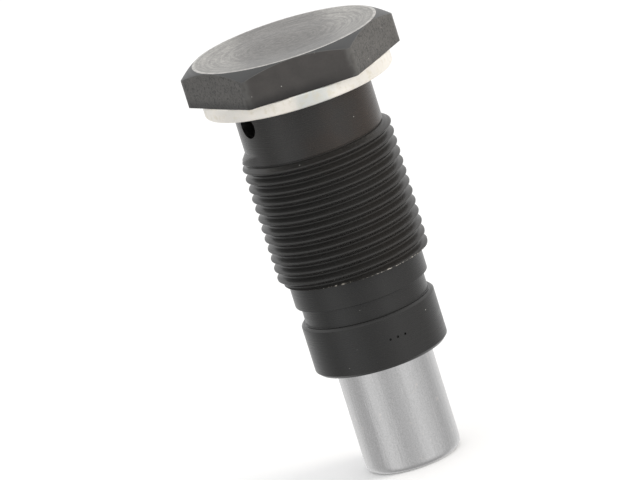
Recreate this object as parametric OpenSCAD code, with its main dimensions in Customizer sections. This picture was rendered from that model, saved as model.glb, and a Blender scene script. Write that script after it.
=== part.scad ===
// Screw-in hydraulic timing chain tensioner, in millimetres.
// A turned steel housing with a hex head and a metric thread holds a sprung, hollow plunger.
// Oil enters through a hole in the neck and passes a ball check valve into the pressure chamber.
// The origin is on the axis in the sealing plane, under the washer, and +Z runs out of the head.

/* [Hex head] */
// Width across the hexagon's flats
hex_af = 27; // [25:0.5:30]
// Height of the head above the washer
head_h = 5.25; // [4:0.05:8]
// Diameter that the hexagon's corners are turned down to
corner_d = 30.95; // [29:0.05:32]
// Diameter of the turned top face
face_d = 26.8; // [22:0.1:28]
// Slope of the chamfer from the top face to the corners, in degrees
chamfer_slope = 30; // [15:1:45]
// Width of the rim around the dish in the top face
dish_rim = 0.3; // [0.2:0.05:1]
// Depth of the dish in the top face
dish_depth = 0.3; // [0.1:0.05:0.6]
// Diameter of the dish's flat floor
dish_floor_d = 16.8; // [10:0.2:20]

/* [Sealing washer] */
// Outside diameter of the washer
washer_od = 27.4; // [26:0.1:30]
// Thickness of the washer
washer_t = 2.05; // [1:0.05:3]
// Bevel on the washer's outer edges
washer_bevel = 0.15; // [0.1:0.05:0.4]
// Radial clearance of the washer over the thread
washer_gap = 0.15; // [0.05:0.05:0.5]

/* [Neck and thread] */
// Diameter of the plain neck under the head
neck_d = 19.9; // [19:0.1:20.2]
// Length of the neck below the sealing plane
neck_l = 7.45; // [6:0.05:12]
// Outside diameter of the thread
thread_d = 22; // [20:0.5:24]
// Pitch of the thread
thread_pitch = 1.5; // [1:0.25:2]
// Length of the thread, up to its end chamfer
thread_l = 18.9; // [16:0.05:26]
// Length of the chamfer where the thread starts
start_l = 0.5; // [0.2:0.05:1.5]
// Length over which the thread tapers before its end chamfer
lead_l = 3.4; // [1:0.1:6]
// How far the thread's crests fall over that taper
lead_drop = 0.1; // [0.05:0.05:0.8]
// Length of the end chamfer
runout_l = 0.25; // [0.1:0.05:2]

/* [Land, groove and collar] */
// Diameter of the land below the thread
land_d = 19.4; // [18.5:0.1:20]
// Length of that land
land_l = 3.4; // [1.5:0.1:5]
// Length of the step from the land down to the groove
land_step = 0.15; // [0.05:0.05:0.7]
// Diameter of the groove between the land and the collar
groove_d = 18; // [17:0.1:18.4]
// Length of the groove
groove_l = 2.6; // [1:0.05:4]
// Diameter of the collar
collar_d = 19.45; // [18.5:0.05:20]
// Length of the collar
collar_l = 7.5; // [6:0.05:12]
// Chamfer around the collar's upper edge
collar_top_chamfer = 0.35; // [0.1:0.05:0.6]
// Chamfer around the collar's end
collar_end_chamfer = 0.5; // [0.2:0.05:0.8]

/* [Oil feed] */
// Diameter of the oil hole through the neck
oil_d = 3.3; // [2:0.1:4]
// Depth of the oil hole's axis below the sealing plane
oil_depth = 2.1; // [1.9:0.05:4]
// Turn of the oil hole from the front flat, in degrees
oil_turn = -61; // [-180:1:180]
// Diameter of the feed chamber behind the check valve
feed_d = 6; // [4:0.1:7]
// Point angle of the drill that made the feed chamber, in degrees
drill_point = 118; // [90:1:140]

/* [Bore and plunger] */
// Diameter of the housing's bore
bore_d = 15.5; // [15.2:0.1:16.2]
// Depth of the bore from the housing's mouth to the valve
bore_l = 28.4; // [27:0.1:30]
// Radial running clearance between the plunger's guide and the bore
run_gap = 0.03; // [0.01:0.01:0.1]
// Diameter of the plunger where it shows
plunger_d = 14; // [13:0.05:14.4]
// How far the plunger stands out of the housing at rest
plunger_out = 15.9; // [13:0.05:20]
// Length of the wider guide inside the bore
guide_l = 13; // [10:0.1:13.6]
// Thickness of the plunger's closed end
tip_t = 3; // [2:0.1:5]
// Rounding of the plunger's tip
tip_round = 1.25; // [0.3:0.05:2]
// Chamfers on the guide and the housing's mouth
edge_chamfer = 0.3; // [0.1:0.05:0.4]

/* [Retaining ring] */
// Thickness of the ring's round wire
ring_wire = 1.2; // [0.8:0.05:1.4]
// Gap between the ring and the plunger, and between the ring and the guide
ring_gap = 0.2; // [0.1:0.05:0.4]
// Wall between the ring's groove and the mouth
ring_lip = 0.75; // [0.5:0.05:1.5]
// Clearance of the ring in its groove
ring_fit = 0.05; // [0.02:0.01:0.1]
// Angle of the opening between the ring's ends, in degrees
ring_open = 24; // [10:1:60]

/* [Main spring] */
// Outside diameter of the main spring
spring_od = 10.2; // [9:0.1:10.6]
// Thickness of its wire
spring_wire = 1.2; // [0.8:0.05:1.3]
// Number of turns, with one closed turn at each end
spring_turns = 13; // [8:1:18]
// Radial gap around the main spring
spring_gap = 0.3; // [0.2:0.05:0.6]

/* [Check valve] */
// Diameter of the valve seat
seat_d = 10.7; // [9.6:0.1:12]
// Thickness of the valve seat
seat_t = 2.6; // [2.2:0.1:4]
// Radial clearance of the seat and the cage in their pocket
seat_fit = 0.02; // [0.01:0.01:0.1]
// Diameter of the hole through the seat
seat_hole_d = 2.4; // [1.6:0.1:2.6]
// Depth of the cone that the ball closes
seat_cone = 1; // [0.8:0.05:1.4]
// Diameter of the ball
ball_d = 4; // [3.6:0.1:4.4]
// Gap between the resting ball and its cone, and between the ball and its spring
ball_gap = 0.05; // [0.02:0.01:0.1]
// Sheet thickness of the cage
cage_t = 0.6; // [0.4:0.05:0.7]
// Gap around the ball inside the cage
cage_gap = 0.6; // [0.4:0.05:0.7]
// Inside depth of the cage's cup below its flange
cage_depth = 3.6; // [3.4:0.05:5]
// Width of the cage's windows
window_w = 1.8; // [1:0.1:2.4]
// Sill of the cage's windows above its floor, and the same below its flange
window_sill = 0.7; // [0.4:0.05:1]
// Number of windows
windows = 3; // [2:1:4]
// Thickness of the valve spring's wire
valve_wire = 0.22; // [0.15:0.01:0.3]
// Mean diameter of the valve spring
valve_spring_d = 2.2; // [1.6:0.1:2.6]
// Number of turns in the valve spring
valve_turns = 4; // [3:1:5]

/* [Hidden] */
$fn = 96;
wire_sides = 8;
wire_steps = 16;
cut = 1;

black_steel = "#3a3733";
bright_steel = "#b9b7b2";
spring_steel = "#7d7c79";
pale_aluminium = "#dcdad4";

// Levels down the outside of the housing
thread_top = -neck_l;
thread_end = thread_top - thread_l;
land_top = thread_end - runout_l;
land_end = land_top - land_l;
groove_top = land_end - land_step;
collar_top = groove_top - groove_l;
mouth = collar_top - collar_l;

// Thread form: flanks of 60 degrees and a crest an eighth of the pitch wide, as level ridges without lead
thread_depth = 0.6134 * thread_pitch;
flank = thread_depth * tan(30);
crest = thread_pitch / 8;
ridge_count = ceil((thread_top - land_top) / thread_pitch);

// Levels inside, from the mouth inwards
bore_top = mouth + bore_l;
seat_low = bore_top + cage_t;
seat_top = seat_low + seat_t;
feed_top = oil_d / 2 - oil_depth;
ring_level = mouth + ring_lip + ring_fit + ring_wire / 2;
guide_low = ring_level + ring_wire / 2 + ring_gap;
guide_top = guide_low + guide_l;
tip = mouth - plunger_out;
spring_floor = tip + tip_t;
guide_r = bore_d / 2 - run_gap;
ring_r = plunger_d / 2 + ring_gap + ring_wire / 2;
plunger_bore_r = spring_od / 2 + spring_gap;

// The ball's centre hangs below the tip of its 90 degree cone
cone_half = 45;
cone_tip = seat_low + seat_cone + seat_hole_d / 2 / tan(cone_half);
ball_level = cone_tip - (ball_d / 2 + ball_gap) / sin(cone_half);
cup_r = ball_d / 2 + cage_gap;
cup_floor = bore_top - cage_depth;
valve_spring_inner_r = (valve_spring_d - valve_wire) / 2;
valve_spring_top = ball_level - ball_gap - sqrt(pow(ball_d / 2, 2) - pow(valve_spring_inner_r, 2));

// Largest radius that the chamfers and the lead taper leave the thread at level z
function thread_limit(z) = lookup(z, [
    [land_top, land_d / 2],
    [thread_end, thread_d / 2 - lead_drop],
    [thread_end + lead_l, thread_d / 2],
    [thread_top - start_l, thread_d / 2],
    [thread_top, neck_d / 2]]);

// Corners of one thread ridge, as [height inside the thread, step down from the ridge's top]
ridge = [[0, 0], [thread_depth, flank], [thread_depth, flank + crest], [0, 2 * flank + crest]];

// Outline of the thread's ridges from the neck down, cut back by the chamfers
thread_outline = [
    for (i = [0 : ridge_count - 1], corner = ridge)
        let (z = thread_top - i * thread_pitch - corner[1])
        if (z > land_top)
            [min(thread_d / 2 - thread_depth + corner[0], thread_limit(z)), z]];

// Centre line of a spring with closed, flat-ground ends: level at a share u of its turns
function coil_level(u, turns, wire, low, high) =
    let (end = wire * 1.05, start = low + wire / 8, span = high - low - wire / 4)
    lookup(u * turns, [
        [0, start],
        [1, start + end],
        [turns - 1, start + span - end],
        [turns, start + span]]);

// A round wire coiled about the axis between two levels, with its ends ground flat
module coil(mean_r, wire, turns, low, high) {
    steps = turns * wire_steps;
    points = [
        for (i = [0 : steps], k = [0 : wire_sides - 1])
            let (turn = 360 * i / wire_steps,
                side = 360 * (k + 0.5) / wire_sides,
                r = mean_r + wire / 2 * cos(side),
                z = coil_level(i / steps, turns, wire, low, high) + wire / 2 * sin(side))
            [r * cos(turn), r * sin(turn), max(low, min(high, z))]];
    skin = [
        for (i = [0 : steps - 1], k = [0 : wire_sides - 1])
            let (a = i * wire_sides + k,
                b = i * wire_sides + (k + 1) % wire_sides)
            each [[a, a + wire_sides, b + wire_sides], [a, b + wire_sides, b]]];
    first_end = [for (k = [0 : wire_sides - 1]) k];
    last_end = [for (k = [wire_sides - 1 : -1 : 0]) steps * wire_sides + k];
    polyhedron(points, concat(skin, [first_end, last_end]), convexity = 12);
}

// Hexagon with its corners turned round and its top edge chamfered
module hex_head() {
    corner_r = corner_d / 2;
    head_top = washer_t + head_h;
    chamfer_drop = (corner_r - face_d / 2) * tan(chamfer_slope);
    intersection() {
        translate([0, 0, washer_t])
            cylinder(d = hex_af / cos(30), h = head_h, $fn = 6);
        rotate_extrude()
            polygon([
                [0, washer_t],
                [corner_r, washer_t],
                [corner_r, head_top - chamfer_drop],
                [face_d / 2, head_top],
                [0, head_top]]);
    }
}

// Shallow dish in the head's top face: a wide cone down to a flat floor, with its rim inside the flats
module top_dish() {
    head_top = washer_t + head_h;
    dish_d = face_d - 2 * dish_rim;
    intersection() {
        union() {
            translate([0, 0, head_top - dish_depth])
                cylinder(d1 = dish_floor_d, d2 = dish_d, h = dish_depth);
            translate([0, 0, head_top])
                cylinder(d = dish_d, h = cut);
        }
        translate([0, 0, head_top - dish_depth - cut])
            cylinder(d = (hex_af - 2 * dish_rim) / cos(30), h = dish_depth + 3 * cut, $fn = 6);
    }
}

// Everything turned below the head
module shank() {
    rotate_extrude()
        polygon(concat(
            [[0, washer_t], [neck_d / 2, washer_t]],
            thread_outline,
            [[land_d / 2, land_top],
            [land_d / 2, land_end],
            [groove_d / 2, groove_top],
            [groove_d / 2, collar_top],
            [collar_d / 2 - collar_top_chamfer, collar_top],
            [collar_d / 2, collar_top - collar_top_chamfer],
            [collar_d / 2, mouth + collar_end_chamfer],
            [collar_d / 2 - collar_end_chamfer, mouth],
            [0, mouth]]));
}

// Bore for the plunger, pocket for the valve, feed chamber and the retaining ring's groove
module bores() {
    ring_room = ring_wire + 2 * ring_fit;
    drill_tip = feed_d / 2 / tan(drill_point / 2);
    translate([0, 0, mouth - cut])
        cylinder(d = bore_d, h = bore_l + cut);
    translate([0, 0, mouth])
        cylinder(d1 = bore_d + 2 * edge_chamfer, d2 = bore_d, h = edge_chamfer);
    translate([0, 0, ring_level - ring_room / 2])
        cylinder(r = ring_r + ring_room / 2, h = ring_room);
    translate([0, 0, bore_top - cut])
        cylinder(r = seat_d / 2 + seat_fit, h = cut + cage_t + seat_t);
    translate([0, 0, seat_top - cut])
        cylinder(d = feed_d, h = feed_top - seat_top + cut);
    translate([0, 0, feed_top])
        cylinder(d1 = feed_d, d2 = 0, h = drill_tip);
}

// Cross hole from the neck's side into the feed chamber
module oil_hole() {
    rotate([0, 0, oil_turn])
        translate([0, 0, -oil_depth])
            rotate([90, 0, 0])
                cylinder(d = oil_d, h = thread_d / 2);
}

module housing() {
    color(black_steel)
        difference() {
            union() {
                hex_head();
                shank();
            }
            top_dish();
            bores();
            oil_hole();
        }
}

module sealing_washer() {
    inner_r = thread_d / 2 + washer_gap;
    outer_r = washer_od / 2;
    color(pale_aluminium)
        rotate_extrude()
            polygon([
                [inner_r, 0],
                [outer_r - washer_bevel, 0],
                [outer_r, washer_bevel],
                [outer_r, washer_t - washer_bevel],
                [outer_r - washer_bevel, washer_t],
                [inner_r, washer_t]]);
}

module plunger() {
    shaft_r = plunger_d / 2;
    flat_r = shaft_r - tip_round;
    color(bright_steel)
        difference() {
            rotate_extrude() {
                polygon([
                    [0, tip],
                    [flat_r, tip],
                    [flat_r, tip + tip_round],
                    [shaft_r, tip + tip_round],
                    [shaft_r, guide_low],
                    [guide_r - edge_chamfer, guide_low],
                    [guide_r, guide_low + edge_chamfer],
                    [guide_r, guide_top - edge_chamfer],
                    [guide_r - edge_chamfer, guide_top],
                    [0, guide_top]]);
                translate([flat_r, tip + tip_round])
                    circle(tip_round);
            }
            translate([0, 0, spring_floor])
                cylinder(r = plunger_bore_r, h = guide_top - spring_floor + cut);
            translate([0, 0, guide_top - edge_chamfer])
                cylinder(r1 = plunger_bore_r, r2 = plunger_bore_r + edge_chamfer, h = edge_chamfer);
        }
}

module main_spring() {
    color(spring_steel)
        coil((spring_od - spring_wire) / 2, spring_wire, spring_turns, spring_floor, bore_top);
}

module retaining_ring() {
    color(spring_steel)
        translate([0, 0, ring_level])
            rotate([0, 0, ring_open / 2])
                rotate_extrude(angle = 360 - ring_open)
                    translate([ring_r, 0])
                        circle(d = ring_wire);
}

module valve_seat() {
    cone_r = seat_hole_d / 2 + seat_cone * tan(cone_half);
    color(bright_steel)
        translate([0, 0, seat_low])
            rotate_extrude()
                polygon([
                    [seat_hole_d / 2, seat_t],
                    [seat_hole_d / 2, seat_cone],
                    [cone_r, 0],
                    [seat_d / 2, 0],
                    [seat_d / 2, seat_t]]);
}

module check_ball() {
    color(bright_steel)
        translate([0, 0, ball_level])
            sphere(d = ball_d);
}

module valve_spring() {
    color(spring_steel)
        coil(valve_spring_d / 2, valve_wire, valve_turns, cup_floor, valve_spring_top);
}

// Drawn cup with a flange, a drain in its floor and windows in its wall
module valve_cage() {
    drain_r = valve_spring_inner_r - valve_wire;
    window_h = cage_depth - 2 * window_sill;
    color(spring_steel)
        difference() {
            rotate_extrude()
                polygon([
                    [cup_r, seat_low],
                    [seat_d / 2, seat_low],
                    [seat_d / 2, bore_top],
                    [cup_r + cage_t, bore_top],
                    [cup_r + cage_t, cup_floor - cage_t],
                    [drain_r, cup_floor - cage_t],
                    [drain_r, cup_floor],
                    [cup_r, cup_floor]]);
            for (i = [0 : windows - 1])
                rotate([0, 0, 360 * i / windows])
                    translate([cup_r / 2, -window_w / 2, cup_floor + window_sill])
                        cube([cup_r, window_w, window_h]);
        }
}

housing();
sealing_washer();
plunger();
main_spring();
retaining_ring();
valve_seat();
check_ball();
valve_spring();
valve_cage();
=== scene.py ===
"""Looks of a screw-in hydraulic timing chain tensioner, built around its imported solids.

The turned housing, the washer, the plunger and the springs are fine meshes that stand for their
solids. The retaining ring and the valve's seat, ball and cage keep theirs. Sizes are in millimetres
until a mesh is made, and the frame is the solids' own: the axis is Z, with the head up.
"""

import math
import random

import bmesh
import bpy
from mathutils import Matrix, Vector


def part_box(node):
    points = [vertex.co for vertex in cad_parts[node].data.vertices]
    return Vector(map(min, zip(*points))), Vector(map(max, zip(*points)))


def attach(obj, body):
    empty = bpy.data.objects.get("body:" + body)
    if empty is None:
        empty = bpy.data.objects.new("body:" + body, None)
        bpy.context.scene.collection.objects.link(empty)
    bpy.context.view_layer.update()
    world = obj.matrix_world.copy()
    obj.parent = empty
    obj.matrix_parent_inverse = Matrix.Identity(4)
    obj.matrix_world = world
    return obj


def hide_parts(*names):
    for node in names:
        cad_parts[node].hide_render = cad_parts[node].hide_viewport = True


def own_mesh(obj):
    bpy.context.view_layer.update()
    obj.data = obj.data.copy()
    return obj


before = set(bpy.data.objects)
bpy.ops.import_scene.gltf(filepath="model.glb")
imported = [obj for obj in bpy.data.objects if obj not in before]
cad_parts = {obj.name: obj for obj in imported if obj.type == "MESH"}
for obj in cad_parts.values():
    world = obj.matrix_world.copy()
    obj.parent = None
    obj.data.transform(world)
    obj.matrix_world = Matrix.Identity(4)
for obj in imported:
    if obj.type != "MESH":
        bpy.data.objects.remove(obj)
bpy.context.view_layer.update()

MM = 0.001


def box_mm(node):
    """Lowest and highest corner of a solid, in millimetres."""
    low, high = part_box(node)
    return low / MM, high / MM


# Sizes read from the solids
housing_low, housing_high = box_mm("housing")
washer_low, washer_high = box_mm("sealing_washer")
plunger_low, plunger_high = box_mm("plunger")
ring_low, ring_high = box_mm("retaining_ring")
seat_low, seat_high = box_mm("valve_seat")

HEAD_TOP = housing_high.z
HEAD_UNDER = washer_high.z
MOUTH = housing_low.z
CORNER_R = min(housing_high.x, -housing_low.x)
FLAT_R = housing_high.y
TIP = plunger_low.z
GUIDE_TOP = plunger_high.z
GUIDE_R = plunger_high.x
WASHER_R = min(washer_high.x, washer_high.y)

# Sizes of the housing that its box does not give
FACE_R = 13.4
CHAMFER = math.radians(30)
DISH_RIM = 0.3
DISH_DEPTH = 0.3
DISH_FLOOR_R = 8.4
DISH_BLEND = 1.2
NECK_R = 9.95
NECK_FILLET = 0.2
NECK_END = -6.4
THREAD_R = 11.0
THREAD_PITCH = 1.5
THREAD_END = -26.35
THREAD_DEPTH = 0.6134 * THREAD_PITCH
FLANK_ANGLE = math.radians(30)
CREST_FLAT = THREAD_PITCH / 8
CREST_SOFT = 0.1
ROOT_SOFT = 0.2
THREAD_LEAD = 3.4
THREAD_LEAD_DROP = 0.1
LAND_TOP = -26.6
LAND_R = 9.7
LAND_END = -30.0
GROOVE_R = 9.0
GROOVE_TOP = -30.15
COLLAR_TOP = -32.75
COLLAR_R = 9.725
COLLAR_TOP_CHAMFER = 0.35
COLLAR_END_CHAMFER = 0.5
BORE_R = 7.75
MOUTH_CHAMFER = 0.3
RING_FIT = 0.05
SEAT_FIT = 0.02
CAGE_T = 0.6
FEED_R = 3.0
OIL_R = 1.65
OIL_DEPTH = 2.1
OIL_TURN = math.radians(-61)
DRILL_HALF_ANGLE = math.radians(59)

# Fillets of the broken edges, of the inner corners and of single places
EDGE_FILLET = 0.05
CORNER_FILLET = 0.1
COLLAR_FILLET = 0.08
GROOVE_FILLET = 0.15
RING_EDGE_FILLET = 0.03
CUP_FILLET = 0.2

# Sizes of the washer, the plunger and the springs that their boxes do not give
WASHER_BORE_R = 11.15
WASHER_BEVEL = 0.15
PLUNGER_R = 7.0
PLUNGER_BORE_R = 5.4
PLUNGER_TIP_T = 3.0
PLUNGER_TIP_ROUND = 1.25
GUIDE_L = 13.0
GUIDE_CHAMFER = 0.3
SPRING_WIRE = 1.2
SPRING_TURNS = 13
VALVE_WIRE = 0.22
VALVE_TURNS = 4

# Level of a thread crest at angle 0, and the level in front where the first ridge leaves the neck
THREAD_PHASE = -17.14
THREAD_START = -7.765
# Angle from the front where the first ridge has run out, and the angle over which it does
RUNOUT_AT = math.radians(-58)
RUNOUT_OVER = math.radians(44)
# How fast the groove below it fills up there, how high on its lower side, and the shoulder's slope
# at two angles of its turn
FILL_RATE = 2.6
FILL_LOW = 0.45
SHOULDER_SLOPES = ((math.radians(200), 2.0), (math.radians(310), 0.72))
# How far below its start the run-out reaches
RUNOUT_REACH = 1.5 * THREAD_PITCH
# Depth and half height of the score along the first ridge, and how fast it begins in the groove
SCORE_DEPTH = 0.1
SCORE_HALF = 0.1
SCORE_RATE = 4
# Three round punch marks on the collar: level, first angle from the front, step, radius, depth and taper
PUNCHES = 3
PUNCH_LEVEL = -36.17
PUNCH_FIRST = math.radians(7.95)
PUNCH_STEP = math.radians(6.85)
PUNCH_R = 0.23
PUNCH_DEPTH = 0.3
PUNCH_TAPER = 0.5
# The torn edge at the thread's end: angles from the front, width and height
BURR_FROM = math.radians(-45)
BURR_TO = math.radians(80)
BURR_WIDTH = 0.08
BURR_HEIGHT = 0.04
BURR_SEED = 7

# Fineness of the meshes
FLAT_COLUMNS = 34
ROUND_COLUMNS = 192
HOLE_COLUMNS = 48
COIL_SIDES = 14
COIL_STEPS = 44
# Radius of the small face that closes a turned mesh on the axis
AXIS_R = 0.03
# Radii of the rows under the head
UNDER_ROWS = (12.9, 11.4, 10.3)
# Levels of the thread's points within a pitch, closer together where crest and root bend
THREAD_LEVELS = (
    0, 0.05, 0.075, 0.12, 0.24, 0.36, 0.4, 0.45, 0.5, 0.55, 0.6, 0.64, 0.76, 0.88, 0.925, 0.95)
ARC_STEPS = 4
EDGE = 0.06
SMOOTH_ANGLE = math.radians(50)


# Outlines

def rounded(corners):
    """Outline through corners given as (radius, level, fillet), with arcs at the fillets."""
    points = []
    for i, (r, z, fillet) in enumerate(corners):
        corner = Vector((r, z))
        if fillet == 0 or i in (0, len(corners) - 1):
            points.append(corner)
            continue
        before = (Vector(corners[i - 1][:2]) - corner).normalized()
        after = (Vector(corners[i + 1][:2]) - corner).normalized()
        start = corner + before * fillet
        end = corner + after * fillet
        for step in range(ARC_STEPS + 1):
            t = step / ARC_STEPS
            points.append(start * (1 - t) ** 2 + corner * 2 * t * (1 - t) + end * t ** 2)
    return points


def divided(outline, longest):
    """The same outline with its long straight stretches cut into steps."""
    points = [outline[0]]
    for a, b in zip(outline, outline[1:]):
        steps = max(1, math.ceil((b - a).length / longest))
        points += [a.lerp(b, (k + 1) / steps) for k in range(steps)]
    return points


# Meshes

def mesh_object(name, points, faces, zones, materials):
    """A smooth-shaded object from points in millimetres, with one material per zone."""
    mesh = bpy.data.meshes.new(name)
    mesh.from_pydata([Vector(p) * MM for p in points], [], faces)
    for material in materials:
        mesh.materials.append(material)
    mesh.polygons.foreach_set("material_index", zones)
    obj = bpy.data.objects.new(name, mesh)
    bpy.context.scene.collection.objects.link(obj)
    tidy_mesh(mesh)
    return obj


def tidy_mesh(mesh):
    """Joins coinciding points, drops flattened faces, turns faces outwards and smooths the shading."""
    work = bmesh.new()
    work.from_mesh(mesh)
    bmesh.ops.remove_doubles(work, verts=work.verts, dist=1e-7)
    bmesh.ops.dissolve_degenerate(work, edges=work.edges, dist=1e-8)
    bmesh.ops.recalc_face_normals(work, faces=work.faces)
    work.to_mesh(mesh)
    work.free()
    mesh.shade_smooth()
    mesh.set_sharp_from_angle(angle=SMOOTH_ANGLE)


def ring_points(r, z, angles):
    """Points of a level ring about the axis."""
    return [(r * math.cos(a), r * math.sin(a), z) for a in angles]


def skin_rows(first_index, row_count, columns):
    """Faces between rows of points that close round the axis."""
    faces = []
    for i in range(row_count - 1):
        for j in range(columns):
            k = (j + 1) % columns
            a = first_index + i * columns
            faces.append((a + j, a + columns + j, a + columns + k, a + k))
    return faces


def revolved(name, outline, material):
    """A closed outline of (radius, level) points turned about the axis."""
    angles = [2 * math.pi * j / ROUND_COLUMNS for j in range(ROUND_COLUMNS)]
    points = [p for r, z in outline for p in ring_points(r, z, angles)]
    faces = skin_rows(0, len(outline), ROUND_COLUMNS)
    return mesh_object(name, points, faces, [0] * len(faces), [material])


def coil(name, low, high, mean_r, wire, turns, material):
    """A round wire coiled about the axis, with a closed turn and a flat ground face at each end."""
    start = low + wire / 8
    span = high - low - wire / 4
    closed = wire * 1.05
    levels = [(0, start), (1, start + closed), (turns - 1, start + span - closed), (turns, start + span)]
    points = []
    for i in range(turns * COIL_STEPS + 1):
        turn = 2 * math.pi * i / COIL_STEPS
        middle = between(i / COIL_STEPS, levels)
        for k in range(COIL_SIDES):
            side = 2 * math.pi * (k + 0.5) / COIL_SIDES
            r = mean_r + wire / 2 * math.cos(side)
            z = middle + wire / 2 * math.sin(side)
            points.append((r * math.cos(turn), r * math.sin(turn), min(high, max(low, z))))
    faces = skin_rows(0, turns * COIL_STEPS + 1, COIL_SIDES)
    faces += [tuple(range(COIL_SIDES)), tuple(range(len(points) - COIL_SIDES, len(points)))]
    return mesh_object(name, points, faces, [0] * len(faces), [material])


def between(x, pairs):
    """Value at x on straight lines through rising (x, value) pairs."""
    for (x0, v0), (x1, v1) in zip(pairs, pairs[1:]):
        if x <= x1:
            return v0 + (v1 - v0) * max(0, x - x0) / (x1 - x0)
    return pairs[-1][1]


def cylinder_points(centre, along, radius, length, columns, taper=1):
    """Two rings of points for a cutter that runs along a direction, its first ring scaled by taper."""
    side = along.orthogonal().normalized()
    other = along.cross(side)
    points = []
    for distance, r in ((0, radius * taper), (length, radius)):
        for j in range(columns):
            a = 2 * math.pi * j / columns
            points.append(centre + along * distance + (side * math.cos(a) + other * math.sin(a)) * r)
    return points


def cut_holes(obj, cutters, inside):
    """Cuts round holes, given as (centre, direction, radius, length, taper), out of an object."""
    columns = HOLE_COLUMNS
    points, faces = [], []
    for centre, along, radius, length, taper in cutters:
        first = len(points)
        points += cylinder_points(centre, along, radius, length, columns, taper)
        faces += skin_rows(first, 2, columns)
        faces += [tuple(range(first, first + columns)), tuple(range(first + columns, first + 2 * columns))]
    tool = mesh_object("hole_tool", points, faces, [0] * len(faces), [inside])
    modifier = obj.modifiers.new("holes", "BOOLEAN")
    modifier.object = tool
    modifier.operation = "DIFFERENCE"
    modifier.solver = "EXACT"
    modifier.material_mode = "TRANSFER"
    bpy.context.view_layer.objects.active = obj
    bpy.ops.object.modifier_apply(modifier=modifier.name)
    bpy.data.objects.remove(tool)
    obj.data.shade_smooth()
    obj.data.set_sharp_from_angle(angle=SMOOTH_ANGLE)


# The housing

FACE, RIM, CHAMFERED, ARRIS, FLATS, NECK, THREAD, BURR, SHANK, BORED = range(10)


def housing_columns():
    """Angles round the housing, with the hexagon's radius there: even steps on a flat, then its corner."""
    half = math.acos(FLAT_R / CORNER_R)
    columns = []
    for side in range(6):
        middle = math.radians(30 + 60 * side)
        for step in range(FLAT_COLUMNS + 1):
            off = half * (2 * step / FLAT_COLUMNS - 1)
            columns.append((middle + off, FLAT_R / math.cos(off)))
        columns.append((middle + math.radians(30), CORNER_R))
    return columns


def edge_round(corner, before, after, size):
    """Three points that round a corner between two unit directions that leave it."""
    start = corner + before * size
    end = corner + after * size
    return [start, corner * 0.5 + (start + end) * 0.25, end]


def head_outline(hex_r):
    """Outline of the head in a column where the hexagon has this radius, with each point's zone."""
    floor = HEAD_TOP - DISH_DEPTH
    dish_r = FACE_R - DISH_RIM
    slope = DISH_DEPTH / (dish_r - DISH_FLOOR_R)
    rows = [(Vector((DISH_FLOOR_R * share, floor)), FACE) for share in (0.01, 0.2, 0.4, 0.6, 0.75)]
    for step in range(ARC_STEPS + 1):
        t = step / ARC_STEPS
        r = DISH_FLOOR_R + DISH_BLEND * (2 * t - 1)
        rows.append((Vector((r, floor + slope * DISH_BLEND * t * t)), FACE))
    for share in (0.35, 0.6, 0.85):
        r = DISH_FLOOR_R + (dish_r - DISH_FLOOR_R) * share
        rows.append((Vector((r, floor + slope * (r - DISH_FLOOR_R))), FACE))
    inner = Vector((dish_r, HEAD_TOP))
    up_slope = Vector((-1, -slope)).normalized()
    rows += [(p, RIM) for p in edge_round(inner, up_slope, Vector((1, 0)), EDGE)]
    down_chamfer = Vector((math.cos(CHAMFER), -math.sin(CHAMFER)))
    outer = Vector((FACE_R, HEAD_TOP))
    chamfer_l = (hex_r - FACE_R) / math.cos(CHAMFER)
    small = min(EDGE, 0.4 * chamfer_l)
    rows += list(zip(edge_round(outer, Vector((-1, 0)), down_chamfer, small), (RIM, RIM, CHAMFERED)))
    edge = outer + down_chamfer * chamfer_l
    rows += [(outer.lerp(edge, share), CHAMFERED) for share in (0.45, 0.55)]
    rows += list(zip(edge_round(edge, -down_chamfer, Vector((0, -1)), small), (ARRIS, ARRIS, FLATS)))
    foot = Vector((hex_r, HEAD_UNDER))
    rows += [(edge.lerp(foot, share), FLATS) for share in (0.15, 0.4, 0.65, 0.9)]
    rows += [(p, FLATS) for p in edge_round(foot, Vector((0, 1)), Vector((-1, 0)), EDGE)]
    rows += [(Vector((r, HEAD_UNDER)), NECK) for r in UNDER_ROWS]
    return rows


def neck_outline():
    """Outline of the neck, from its fillet under the head to just above the thread."""
    corners = [
        (NECK_R + 2 * NECK_FILLET, HEAD_UNDER, 0),
        (NECK_R, HEAD_UNDER, NECK_FILLET),
        (NECK_R, NECK_END, 0)]
    return divided(rounded(corners)[1:], longest=0.9)


def from_front(angle):
    """Angle to the right of the front, between half a turn either way."""
    return math.remainder(angle + math.pi / 2, 2 * math.pi)


def climb(angle):
    """Rise of the right-hand helix over an angle."""
    return THREAD_PITCH * angle / (2 * math.pi)


def thread_depth(distance):
    """Depth below the crest at a distance from its middle, with rounded crest and root."""
    flank = (abs(distance) - CREST_FLAT / 2) / math.tan(FLANK_ANGLE)
    risen = (flank + math.hypot(flank, CREST_SOFT)) / 2
    below = THREAD_DEPTH - risen
    return THREAD_DEPTH - (below + math.hypot(below, ROOT_SOFT)) / 2


def thread_turn(angle):
    """Angle to the right of the place where the first ridge has run out, up to a full turn."""
    return (from_front(angle) - RUNOUT_AT) % (2 * math.pi)


def thread_start(angle):
    """Level where the first ridge leaves the neck."""
    return THREAD_START + climb(RUNOUT_AT + thread_turn(angle))


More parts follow.
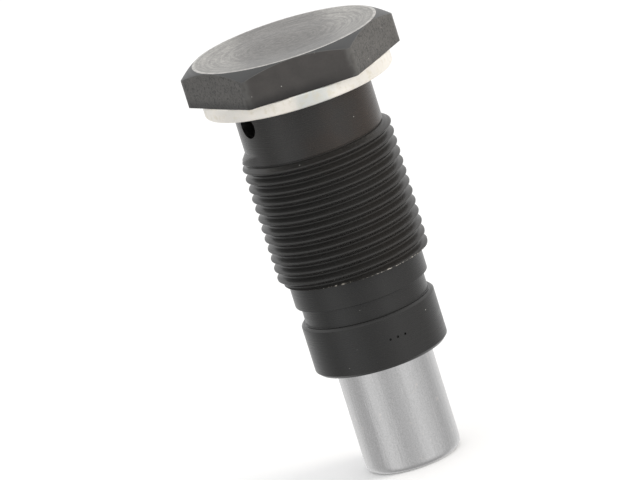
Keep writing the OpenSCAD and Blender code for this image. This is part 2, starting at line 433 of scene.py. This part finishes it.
def runout_rise(rise, remaining, over_score):
    """Height over the neck where the first ridge runs out and its groove fills up, all but the score."""
    faded = remaining * remaining * (3 - 2 * remaining)
    filled = (THREAD_R - NECK_R) * min(faded, FILL_RATE * (1 - remaining))
    if abs(over_score) < SCORE_HALF:
        scored = SCORE_DEPTH * min(1, SCORE_RATE * (1 - remaining))
        return max(rise * faded, min(filled, FILL_LOW)) - scored
    if over_score > 0:
        return max(rise * faded, filled)
    return max(rise, min(filled, FILL_LOW))


def thread_radius(angle, z):
    """Radius of the housing where the neck turns into the thread, and down to the thread's end."""
    above = z - thread_start(angle)
    remaining = min(1, (2 * math.pi - thread_turn(angle)) / RUNOUT_OVER)
    if abs(above) < SCORE_HALF:
        return NECK_R - SCORE_DEPTH * remaining
    if above > 0:
        return NECK_R
    taper = THREAD_LEAD_DROP * max(0, 1 - (z - THREAD_END) / THREAD_LEAD)
    from_crest = math.remainder(z - THREAD_PHASE - climb(angle), THREAD_PITCH)
    rise = THREAD_R - NECK_R - max(taper, thread_depth(from_crest))
    if remaining < 1 and above > -RUNOUT_REACH:
        rise = runout_rise(rise, remaining, above + THREAD_PITCH)
    return NECK_R + min(rise, -above * between(thread_turn(angle), SHOULDER_SLOPES))


def thread_zone(angle, z):
    """Zone of a face between the neck's end and the thread's end."""
    running_out = thread_turn(angle) > 2 * math.pi - RUNOUT_OVER
    if z > thread_start(angle) - (THREAD_PITCH if running_out else 0):
        return NECK
    burred = z < THREAD_END + BURR_WIDTH and BURR_FROM < from_front(angle) < BURR_TO
    return BURR if burred else THREAD


def thread_rows(angles):
    """Rows of points that follow the right-hand helix, held to the neck's end and the thread's end."""
    dice = random.Random(BURR_SEED)
    turns = math.ceil((NECK_END - THREAD_END) / THREAD_PITCH) + 3
    first = THREAD_PHASE + THREAD_PITCH * math.ceil((NECK_END - THREAD_PHASE) / THREAD_PITCH + 1)
    torn = [BURR_HEIGHT * dice.random() for _ in angles]
    rows = []
    for below in [turn + level for turn in range(turns) for level in THREAD_LEVELS]:
        row = []
        for a, tear in zip(angles, torn):
            z = first - THREAD_PITCH * below + climb(a)
            z = min(NECK_END, max(THREAD_END, z))
            r = thread_radius(a, z)
            if thread_zone(a, z) == BURR:
                r += tear
            row.append((r * math.cos(a), r * math.sin(a), z))
        rows.append(row)
    return rows


def shank_corners():
    """Corners of the outline from the land down to the mouth and up the bore to the drill's point."""
    ring_top = ring_high.z + RING_FIT
    ring_bottom = ring_low.z - RING_FIT
    ring_groove_r = ring_high.x + RING_FIT
    pocket_r = seat_high.x + SEAT_FIT
    bore_top = seat_low.z - CAGE_T
    feed_top = OIL_R - OIL_DEPTH
    return [
        (LAND_R, LAND_TOP, 0),
        (LAND_R, LAND_END, EDGE_FILLET),
        (GROOVE_R, GROOVE_TOP, GROOVE_FILLET),
        (GROOVE_R, COLLAR_TOP, COLLAR_FILLET),
        (COLLAR_R - COLLAR_TOP_CHAMFER, COLLAR_TOP, EDGE_FILLET),
        (COLLAR_R, COLLAR_TOP - COLLAR_TOP_CHAMFER, EDGE_FILLET),
        (COLLAR_R, MOUTH + COLLAR_END_CHAMFER, COLLAR_FILLET),
        (COLLAR_R - COLLAR_END_CHAMFER, MOUTH, COLLAR_FILLET),
        (BORE_R + MOUTH_CHAMFER, MOUTH, EDGE_FILLET),
        (BORE_R, MOUTH + MOUTH_CHAMFER, EDGE_FILLET),
        (BORE_R, ring_bottom, RING_EDGE_FILLET),
        (ring_groove_r, ring_bottom, CORNER_FILLET),
        (ring_groove_r, ring_top, CORNER_FILLET),
        (BORE_R, ring_top, RING_EDGE_FILLET),
        (BORE_R, bore_top, CORNER_FILLET),
        (pocket_r, bore_top, EDGE_FILLET),
        (pocket_r, seat_high.z, CORNER_FILLET),
        (FEED_R, seat_high.z, EDGE_FILLET),
        (FEED_R, feed_top, CORNER_FILLET),
        (AXIS_R, feed_top + FEED_R / math.tan(DRILL_HALF_ANGLE), 0)]


def make_housing(materials):
    """The housing from its face down over the thread to the mouth and up its bore, with the holes cut."""
    columns = housing_columns()
    angles = [a for a, _ in columns]
    count = len(columns)
    heads = [head_outline(hex_r) for _, hex_r in columns]
    points, faces, zones = [], [], []

    def add_rows(rows, row_zones):
        first = len(points)
        for row in rows:
            points.extend(row)
        faces.extend(skin_rows(first, len(rows), count))
        for zone in row_zones:
            zones.extend([zone] * count)

    def turned(p, angle):
        return (p.x * math.cos(angle), p.x * math.sin(angle), p.y)

    # The head differs from column to column
    head_rows = [[turned(head[i][0], a) for head, a in zip(heads, angles)] for i in range(len(heads[0]))]
    neck = neck_outline()
    upper = head_rows + [ring_points(p.x, p.y, angles) for p in neck]
    add_rows(upper, [zone for _, zone in heads[0]] + [NECK] * (len(neck) - 1))

    # The thread's rows climb one pitch in a turn, so they join their own rows a turn further up
    first = len(points)
    helix = thread_rows(angles)
    for row in helix:
        points.extend(row)
    for i in range(len(helix) - 1):
        for j in range(count):
            k = j + 1
            up = i
            if k == count:
                k = 0
                up = i - len(THREAD_LEVELS)
                if up < 0:
                    continue
            a = first + i * count + j
            b = first + up * count + k
            faces.append((a, a + count, b + count, b))
            zones.append(thread_zone(angles[j], (helix[i][j][2] + helix[i + 1][j][2]) / 2))

    # The thread's end, the land, the collar and the bores
    lower = divided(rounded(shank_corners()), longest=1.1)
    mouth_row = next(i for i, p in enumerate(lower) if p.y < MOUTH + 1e-4)
    # The black outside goes a few rows past the mouth's outer edge
    row_zones = [SHANK if i <= mouth_row + 3 else BORED for i in range(len(lower))]
    add_rows([helix[-1]] + [ring_points(p.x, p.y, angles) for p in lower], row_zones)

    # Both ends on the axis are closed by one small face
    faces.append(tuple(range(count)))
    zones.append(FACE)
    faces.append(tuple(range(len(points) - count, len(points))))
    zones.append(BORED)
    housing = mesh_object("tensioner_housing", points, faces, zones, materials)

    oil_way = Vector((math.sin(OIL_TURN), -math.cos(OIL_TURN), 0))
    cutters = [(Vector((0, 0, -OIL_DEPTH)), oil_way, OIL_R, THREAD_R + 1, 1)]
    for i in range(PUNCHES):
        a = PUNCH_FIRST + i * PUNCH_STEP
        out = Vector((math.sin(a), -math.cos(a), 0))
        start = out * (COLLAR_R - PUNCH_DEPTH) + Vector((0, 0, PUNCH_LEVEL))
        cutters.append((start, out, PUNCH_R, 2 * PUNCH_DEPTH, PUNCH_TAPER))
    cut_holes(housing, cutters, materials[BORED])
    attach(housing, "housing")
    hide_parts("housing")


# The other pieces

def make_washer(material):
    """The sealing washer, a flat ring with bevelled outer edges."""
    mid = (WASHER_BORE_R + WASHER_R) / 2
    corners = [
        (mid, washer_low.z, 0),
        (WASHER_R - WASHER_BEVEL, washer_low.z, CORNER_FILLET),
        (WASHER_R, washer_low.z + WASHER_BEVEL, CORNER_FILLET),
        (WASHER_R, washer_high.z - WASHER_BEVEL, CORNER_FILLET),
        (WASHER_R - WASHER_BEVEL, washer_high.z, CORNER_FILLET),
        (WASHER_BORE_R, washer_high.z, CORNER_FILLET),
        (WASHER_BORE_R, washer_low.z, CORNER_FILLET),
        (mid, washer_low.z, 0)]
    washer = revolved("sealing_ring", divided(rounded(corners), longest=0.6), material)
    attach(washer, "housing")
    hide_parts("sealing_washer")


def make_plunger(material):
    """The plunger, a cup with a rounded tip and a wider guide at its open end."""
    guide_low = GUIDE_TOP - GUIDE_L
    floor = TIP + PLUNGER_TIP_T
    corners = [
        (AXIS_R, TIP, 0),
        (PLUNGER_R, TIP, PLUNGER_TIP_ROUND),
        (PLUNGER_R, guide_low, EDGE_FILLET),
        (GUIDE_R - GUIDE_CHAMFER, guide_low, EDGE_FILLET),
        (GUIDE_R, guide_low + GUIDE_CHAMFER, EDGE_FILLET),
        (GUIDE_R, GUIDE_TOP - GUIDE_CHAMFER, EDGE_FILLET),
        (GUIDE_R - GUIDE_CHAMFER, GUIDE_TOP, EDGE_FILLET),
        (PLUNGER_BORE_R + GUIDE_CHAMFER, GUIDE_TOP, EDGE_FILLET),
        (PLUNGER_BORE_R, GUIDE_TOP - GUIDE_CHAMFER, EDGE_FILLET),
        (PLUNGER_BORE_R, floor, CUP_FILLET),
        (AXIS_R, floor, 0)]
    plunger = revolved("plunger_cup", divided(rounded(corners), longest=1.2), material)
    close_ends(plunger)
    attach(plunger, "plunger")
    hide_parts("plunger")


def close_ends(obj):
    """Fills the small openings on the axis."""
    work = bmesh.new()
    work.from_mesh(obj.data)
    bmesh.ops.holes_fill(work, edges=[e for e in work.edges if e.is_boundary])
    bmesh.ops.recalc_face_normals(work, faces=work.faces)
    work.to_mesh(obj.data)
    work.free()
    obj.data.shade_smooth()
    obj.data.set_sharp_from_angle(angle=SMOOTH_ANGLE)


def make_spring(name, node, wire, turns, material):
    """A coil in place of a spring's solid."""
    low, high = box_mm(node)
    spring = coil(name, low.z, high.z, high.x - wire / 2, wire, turns, material)
    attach(spring, "housing")
    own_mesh(spring)
    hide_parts(node)


# Materials

class Nodes:
    """A node tree, with short calls to add to it."""

    def __init__(self, tree):
        self.tree = tree

    def add(self, kind, settings=None, **inputs):
        node = self.tree.nodes.new(kind)
        for key, value in (settings or {}).items():
            setattr(node, key, value)
        for key, value in inputs.items():
            self.put(node.inputs[key.replace("_", " ")], value)
        return node

    def put(self, socket, value):
        if isinstance(value, bpy.types.NodeSocket):
            self.tree.links.new(value, socket)
        else:
            socket.default_value = value

    def vector(self, operation, a, b=None, Scale=None):
        node = self.add("ShaderNodeVectorMath", {"operation": operation})
        self.put(node.inputs[0], a)
        if b is not None:
            self.put(node.inputs[1], b)
        if Scale is not None:
            node.inputs["Scale"].default_value = Scale
        return node.outputs["Value"] if operation in ("LENGTH", "DOT_PRODUCT") else node.outputs[0]

    def math(self, operation, a, b=0.0):
        node = self.add("ShaderNodeMath", {"operation": operation})
        self.put(node.inputs[0], a)
        self.put(node.inputs[1], b)
        return node.outputs[0]

    def ramp(self, value, low, high, a=0.0, b=1.0):
        node = self.add("ShaderNodeMapRange", {"interpolation_type": "SMOOTHSTEP"}, Value=value)
        for key, number in (("From Min", low), ("From Max", high), ("To Min", a), ("To Max", b)):
            node.inputs[key].default_value = number
        return node.outputs[0]

    def mix(self, share, a, b):
        node = self.add("ShaderNodeMix", {"data_type": "RGBA"})
        self.put(node.inputs["Factor"], share)
        for socket, value in ((node.inputs[6], a), (node.inputs[7], b)):
            self.put(socket, value if isinstance(value, bpy.types.NodeSocket) else (*value, 1))
        return node.outputs[2]


class Shader(Nodes):
    """A material's node tree. Texture places are in millimetres."""

    def __init__(self, name):
        self.material = bpy.data.materials.new(name)
        self.material.use_nodes = True
        super().__init__(self.material.node_tree)
        self.bsdf = self.tree.nodes["Principled BSDF"]
        place = self.add("ShaderNodeTexCoord").outputs["Object"]
        self.place = self.vector("SCALE", place, Scale=1 / MM)
        self.x, self.y, self.z = self.add("ShaderNodeSeparateXYZ", Vector=self.place).outputs
        flat = self.add("ShaderNodeCombineXYZ", X=self.x, Y=self.y).outputs[0]
        self.radius = self.vector("LENGTH", flat)
        self.heading = self.vector("NORMALIZE", flat)

    def noise(self, scale, detail=3.0, rough=0.55, vector=None):
        node = self.add("ShaderNodeTexNoise", Vector=vector or self.place)
        node.inputs["Scale"].default_value = scale
        node.inputs["Detail"].default_value = detail
        node.inputs["Roughness"].default_value = rough
        return node.outputs["Fac"]

    def turning(self, fine, wander=0.9):
        """Noise drawn out round the axis, as a lathe leaves it: fine is its lines per millimetre."""
        along = self.math("ADD", self.radius, self.z)
        lines = self.math("MULTIPLY", along, fine)
        around = self.vector("SCALE", self.heading, Scale=wander)
        up = self.add("ShaderNodeCombineXYZ", Z=lines).outputs[0]
        return self.noise(1.0, 2.0, 0.6, self.vector("ADD", around, up))

    def specks(self, per_mm, size, share):
        """Small sparse spots: 1 inside a spot."""
        node = self.add("ShaderNodeTexVoronoi", Vector=self.place)
        node.inputs["Scale"].default_value = per_mm
        spot = self.ramp(node.outputs["Distance"], size * 0.6, size, 1.0, 0.0)
        chosen = self.add("ShaderNodeSeparateColor", Color=node.outputs["Color"]).outputs[0]
        return self.math("MULTIPLY", spot, self.math("LESS_THAN", chosen, share))

    def scaled(self, colour, factor):
        """A colour made lighter or darker by a number that varies over the surface."""
        grey = self.add("ShaderNodeCombineXYZ", X=factor, Y=factor, Z=factor).outputs[0]
        return self.vector("MULTIPLY", colour, grey)

    def bump(self, height, strength, depth_mm, before=None):
        node = self.add("ShaderNodeBump", Height=height)
        node.inputs["Strength"].default_value = strength
        node.inputs["Distance"].default_value = depth_mm * MM
        if before is not None:
            self.put(node.inputs["Normal"], before)
        return node.outputs[0]

    def finish(self, **inputs):
        for key, value in inputs.items():
            self.put(self.bsdf.inputs[key.replace("_", " ")], value)
        return self.material


PALE_SPECK = (0.4, 0.39, 0.37)


def black_turned(name, dark, warm, rough, line_depth=0.0006, shine=0.5, specks=0.2):
    """Blackened steel off the lathe: a brown tone towards the right, partly painted warm light and partly
    random, faint lines, a few bare specks.
    """
    s = Shader(name)
    # The brown towards the right is partly painted warm light from that side and partly random tone from the
    # noise.
    right_light_and_tone = s.math("ADD", s.math("MULTIPLY", s.x, 0.03), s.noise(0.16, 3.0))
    colour = s.mix(s.ramp(right_light_and_tone, 0.3, 0.75), dark, warm)
    turned = s.turning(8.0)
    grain = s.noise(6.0, 2.0)
    colour = s.scaled(colour, s.ramp(turned, 0.3, 0.7, 0.97, 1.03))
    colour = s.scaled(colour, s.ramp(grain, 0.3, 0.7, 0.92, 1.08))
    bare = s.math("MULTIPLY", s.specks(0.55, 0.05, specks), 0.8)
    colour = s.mix(bare, colour, PALE_SPECK)
    roughness = s.ramp(turned, 0.3, 0.7, rough - 0.04, rough + 0.04)
    normal = s.bump(turned, 0.3, line_depth)
    return s.finish(Base_Color=colour, Roughness=roughness, Normal=normal, Specular_IOR_Level=shine)


def black_flats():
    """The hexagon's blackened flats: pitted as drawn, rubbed at the corners, with painted shade along the
    lower edge.
    """
    s = Shader("black_flats")
    side = s.ramp(s.math("ABSOLUTE", s.x), 7.4, 8.2)
    colour = s.mix(side, (0.043, 0.039, 0.0365), (0.066, 0.062, 0.057))
    colour = s.scaled(colour, s.ramp(s.noise(0.5, 3.0), 0.3, 0.7, 0.9, 1.1))
    grain = s.noise(2.9, 4.0, 0.75)
    pits = s.ramp(grain, 0.38, 0.51, 1.0, 0.0)
    pitted = s.math("MULTIPLY", pits, s.ramp(side, 0.0, 1.0, 0.12, 0.85))
    colour = s.mix(pitted, colour, (0.014, 0.014, 0.013))
    corner = s.ramp(s.radius, 15.05, 15.45)
    worn = s.math("MULTIPLY", corner, s.ramp(s.noise(1.0, 3.0), 0.3, 0.65, 0.2, 0.9))
    colour = s.mix(worn, colour, (0.078, 0.076, 0.072))
    # Painted shade along the flats' lower edge above the washer, deeper on the left half.
    low = s.ramp(s.z, HEAD_UNDER, HEAD_UNDER + 1.8, 1.0, 0.0)
    darker = s.math("MULTIPLY", low, s.ramp(s.x, 1.0, 9.0, 0.7, 0.2))
    colour = s.scaled(colour, s.math("SUBTRACT", 1.0, darker))
    colour = s.mix(s.specks(0.7, 0.06, 0.3), colour, PALE_SPECK)
    normal = s.bump(s.math("MULTIPLY", grain, side), 0.7, 0.05)
    return s.finish(Base_Color=colour, Roughness=s.ramp(grain, 0.3, 0.7, 0.46, 0.38), Normal=normal)


def black_chamfer():
    """The head's turned chamfer: smooth and a little bluish."""
    s = Shader("black_chamfer")
    turned = s.turning(6.0)
    colour = s.mix(s.ramp(turned, 0.3, 0.7), (0.038, 0.039, 0.040), (0.044, 0.0445, 0.045))
    return s.finish(Base_Color=colour, Roughness=s.ramp(turned, 0.3, 0.7, 0.38, 0.44))


def black_face():
    """The head's turned face: rings round the axis, with a painted sheen that is paler towards both sides
    and painted light towards the back.
    """
    s = Shader("black_face")
    turned = s.turning(2.8, 2.0)
    grain = s.noise(1.8, 5.0, 0.8)
    # Painted sheen: the face is paler towards both sides, as the bow-tie highlight of a turned face.
    rubbed = s.ramp(s.math("ABSOLUTE", s.x), 4.5, 9.5)
    colour = s.mix(rubbed, (0.113, 0.107, 0.100), (0.232, 0.223, 0.208))
    # Painted light: the face grows lighter towards the back.
    colour = s.scaled(colour, s.ramp(s.y, -11.0, 11.0, 0.86, 1.18))
    colour = s.scaled(colour, s.ramp(turned, 0.3, 0.7, 0.7, 1.3))
    colour = s.scaled(colour, s.ramp(grain, 0.3, 0.7, 0.6, 1.4))
    roughness = s.ramp(s.radius, 1.0, 10.5, 0.42, 0.34)
    normal = s.bump(s.math("ADD", turned, grain), 0.5, 0.012)
    return s.finish(Base_Color=colour, Roughness=roughness, Normal=normal)


def edge_highlight_and_wear(name, black, bare):
    """An edge rubbed half through to grey steel, its pale grey partly a painted highlight along the rounded
    edge.
    """
    s = Shader(name)
    rubbed = s.ramp(s.noise(1.3, 3.0), 0.3, 0.6, 0.55, 1.0)
    return s.finish(Base_Color=s.mix(rubbed, black, bare), Roughness=s.ramp(rubbed, 0.0, 1.0, 0.5, 0.38))


def torn_edge():
    """The thread cutter's torn edge: bare flecks in the black."""
    s = Shader("torn_edge")
    around = s.vector("SCALE", s.heading, Scale=10.0)
    fleck = s.ramp(s.noise(2.2, 2.0, 0.6, around), 0.46, 0.6)
    bright = s.ramp(s.noise(0.7, 2.0, 0.6, around), 0.4, 0.65, 0.25, 0.75)
    colour = s.mix(s.math("MULTIPLY", fleck, bright), (0.025, 0.024, 0.022), (0.48, 0.45, 0.40))
    return s.finish(Base_Color=colour, Roughness=s.ramp(fleck, 0.0, 1.0, 0.35, 0.45))


def sealing_aluminium():
    """Soft aluminium, turned, clouded and a little stained, with painted shade in a grey stretch in front.
    """
    s = Shader("soft_aluminium")
    cloud = s.noise(0.2, 4.0, 0.6, s.vector("ADD", s.place, (8.0, 0.0, 0.0)))
    colour = s.mix(s.ramp(cloud, 0.35, 0.65), (0.87, 0.845, 0.795), (0.955, 0.91, 0.835))
    # Painted shade: a grey stretch across the front, a little right of the middle.
    aside = s.math("ADD", s.x, s.math("MULTIPLY", s.noise(0.5), 3.0))
    painted_shade_front = s.ramp(s.math("ABSOLUTE", s.math("SUBTRACT", aside, 2.5)), 1.2, 3.6, 0.9, 0.0)
    colour = s.mix(painted_shade_front, colour, (0.70, 0.715, 0.69))
    turned = s.turning(7.0, 2.0)
    stain = s.ramp(s.noise(1.0, 4.0, 0.65), 0.5, 0.7, 0.0, 0.4)
    colour = s.mix(stain, colour, (0.72, 0.66, 0.50))
    normal = s.bump(turned, 0.3, 0.012)
    roughness = s.ramp(turned, 0.3, 0.7, 0.42, 0.54)
    return s.finish(Base_Color=colour, Metallic=0.75, Roughness=roughness, Normal=normal)


def ground_steel():
    """Fine-ground steel: grainy, with faint streaks along the axis and a few small dark marks."""
    s = Shader("ground_steel")
    grain = s.noise(5.0, 3.0, 0.75)
    colour = s.mix(s.ramp(grain, 0.34, 0.66), (0.558, 0.558, 0.556), (0.642, 0.636, 0.640))
    scuff = s.ramp(s.noise(0.7, 4.0, 0.6), 0.64, 0.7, 0.0, 0.6)
    colour = s.mix(scuff, colour, (0.74, 0.70, 0.67))
    mark = s.specks(0.7, 0.045, 0.2)
    colour = s.mix(s.math("MULTIPLY", mark, 0.6), colour, (0.2, 0.2, 0.19))
    drawn_out = s.add("ShaderNodeCombineXYZ", Z=s.math("MULTIPLY", s.z, 0.015)).outputs[0]
    streaks = s.noise(12.0, 3.0, 0.65, s.vector("ADD", s.heading, drawn_out))
    normal = s.bump(streaks, 1.0, 0.05)
    roughness = s.ramp(grain, 0.3, 0.7, 0.21, 0.25)
    return s.finish(Base_Color=colour, Metallic=1.0, Roughness=roughness, Normal=normal)


def spring_wire():
    """Drawn spring wire."""
    s = Shader("spring_wire")
    drawn = s.noise(1.2, 4.0, 0.6)
    colour = s.mix(s.ramp(drawn, 0.3, 0.7), (0.24, 0.23, 0.22), (0.4, 0.39, 0.37))
    roughness = s.ramp(drawn, 0.3, 0.7, 0.28, 0.42)
    return s.finish(Base_Color=colour, Metallic=1.0, Roughness=roughness, Normal=s.bump(drawn, 0.2, 0.02))


def polished_ball():
    """A bearing ball."""
    s = Shader("polished_ball")
    haze = s.noise(0.8, 3.0)
    colour = s.mix(s.ramp(haze, 0.3, 0.7), (0.66, 0.66, 0.66), (0.74, 0.74, 0.75))
    return s.finish(Base_Color=colour, Metallic=1.0, Roughness=s.ramp(haze, 0.3, 0.7, 0.06, 0.12))


def dress(node, material):
    """Gives a solid that keeps its own shape a new material."""
    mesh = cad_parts[node].data
    mesh.materials.clear()
    mesh.materials.append(material)


# Studio

CAMERA_TURN = math.radians(-1.7317)
CAMERA_RISE = math.radians(13.763)
CAMERA_ROLL = math.radians(-17.478)
CAMERA_DISTANCE = 898.8
CAMERA_ASIDE = -3.575
CAMERA_LEVEL = -21.811
CAMERA_LENS = 359.4
SENSOR = 36.0


def make_camera():
    """The camera as fitted to the photo: turned, raised and rolled about the part."""
    turn, rise = CAMERA_TURN, CAMERA_RISE
    back = Vector((math.sin(turn) * math.cos(rise), -math.cos(turn) * math.cos(rise), math.sin(rise)))
    level = Vector((math.cos(turn), math.sin(turn), 0))
    upright = back.cross(level)
    cosine, sine = math.cos(CAMERA_ROLL), math.sin(CAMERA_ROLL)
    right = level * cosine + upright * sine
    up = upright * cosine - level * sine
    place = (level * CAMERA_ASIDE + Vector((0, 0, CAMERA_LEVEL)) + back * CAMERA_DISTANCE) * MM
    data = bpy.data.cameras.new("camera")
    data.lens = CAMERA_LENS
    data.sensor_width = SENSOR
    data.sensor_fit = "HORIZONTAL"
    camera = bpy.data.objects.new("camera", data)
    bpy.context.scene.collection.objects.link(camera)
    turned = Matrix((right, up, back)).transposed().to_4x4()
    camera.matrix_world = Matrix.Translation(place) @ turned
    bpy.context.scene.camera = camera


# Brightness of the white tent round the object: degrees to the right of the front, and level
TENT = (
    (-180, 0.96), (-140, 0.92), (-109, 0.65), (-88, 0.57), (-53, 0.97), (-36, 0.85), (-14, 0.64),
    (14, 0.74), (36, 0.96), (61, 0.80), (95, 0.61), (118, 0.76), (140, 0.96), (180, 0.96))
TENT_TOP = (1.12, 1.12, 1.12)
TENT_FOOT = (0.5, 0.5, 0.5)


def make_tent():
    """A white light tent as the world: soft upright folds, a brighter top and a darker foot."""
    world = bpy.data.worlds.new("tent")
    world.use_nodes = True
    bpy.context.scene.world = world
    n = Nodes(world.node_tree)
    place = n.add("ShaderNodeTexCoord").outputs["Generated"]
    x, y, z = n.add("ShaderNodeSeparateXYZ", Vector=place).outputs
    heading = n.math("ARCTAN2", x, n.math("MULTIPLY", y, -1.0))
    share = n.math("ADD", n.math("DIVIDE", heading, 2 * math.pi), 0.5)
    folds = n.add("ShaderNodeValToRGB", Fac=share)
    folds.color_ramp.interpolation = "EASE"
    stops = folds.color_ramp.elements
    while len(stops) < len(TENT):
        stops.new(0.5)
    for stop, (degrees, level) in zip(stops, TENT):
        stop.position = degrees / 360 + 0.5
        stop.color = (level, level, level, 1)
    walls = n.mix(n.ramp(z, -0.95, -0.6), TENT_FOOT, folds.outputs["Color"])
    dome = n.mix(n.ramp(z, 0.2, 0.7), walls, TENT_TOP)
    n.put(n.tree.nodes["Background"].inputs["Color"], dome)


def make_floor():
    """A plain white floor. Reflections pass it, so that the upright steel shows the tent's folds."""
    bpy.ops.mesh.primitive_circle_add(
        vertices=96, radius=2.5, fill_type="NGON", location=(0, 0, TIP * MM - 0.00002))
    floor = bpy.context.object
    floor.name = "floor"
    floor.visible_glossy = False
    s = Shader("white_floor")
    s.bsdf.inputs["Specular IOR Level"].default_value = 0.1
    colour = s.mix(s.noise(0.02, 2.0), (0.955, 0.955, 0.955), (0.965, 0.965, 0.965))
    floor.data.materials.append(s.finish(Base_Color=colour, Roughness=0.9))


def make_lamp(name, place, aim, size, watts, colour):
    """A round soft lamp, which reflections do not show."""
    data = bpy.data.lights.new(name, "AREA")
    data.shape = "DISK"
    data.size = size
    data.energy = watts
    data.color = colour
    lamp = bpy.data.objects.new(name, data)
    lamp.location = place
    lamp.rotation_euler = (Vector(aim) - Vector(place)).to_track_quat("-Z", "Y").to_euler()
    lamp.visible_glossy = False
    bpy.context.scene.collection.objects.link(lamp)


bpy.context.scene.view_settings.view_transform = "Standard"
make_camera()
make_tent()
make_floor()
make_lamp(
    "side", place=(0.47, -0.16, 0.11), aim=(0, 0, -0.02), size=0.3, watts=1.9, colour=(1.0, 0.95, 0.88))

make_housing([
    black_face(),
    # The rim's and the arris's pale grey is partly a painted highlight of their rounded edges, broken up in
    # patches.
    edge_highlight_and_wear("rim_highlight_and_wear", (0.125, 0.121, 0.115), (0.47, 0.457, 0.435)),
    black_chamfer(),
    edge_highlight_and_wear("arris_highlight_and_wear", (0.045, 0.045, 0.045), (0.08, 0.079, 0.077)),
    black_flats(),
    black_turned(
        "black_neck", (0.0150, 0.0140, 0.0130), (0.0200, 0.0138, 0.0098), rough=0.27, line_depth=0.0012),
    black_turned("black_thread", (0.0215, 0.0210, 0.0200), (0.0215, 0.0200, 0.0185), rough=0.33, shine=0.37),
    torn_edge(),
    black_turned("black_shank", (0.0120, 0.0119, 0.0115), (0.0118, 0.0114, 0.0110), rough=0.29, shine=0.48),
    black_turned("black_bore", (0.0120, 0.0120, 0.0116), (0.0155, 0.0145, 0.0132), rough=0.35)])
make_washer(sealing_aluminium())
ground = ground_steel()
wire = spring_wire()
make_plunger(ground)
make_spring("main_coil", "main_spring", SPRING_WIRE, SPRING_TURNS, wire)
make_spring("valve_coil", "valve_spring", VALVE_WIRE, VALVE_TURNS, wire)
dress("retaining_ring", wire)
dress("valve_cage", wire)
dress("valve_seat", ground)
dress("check_ball", polished_ball())

bpy.context.view_layer.update()
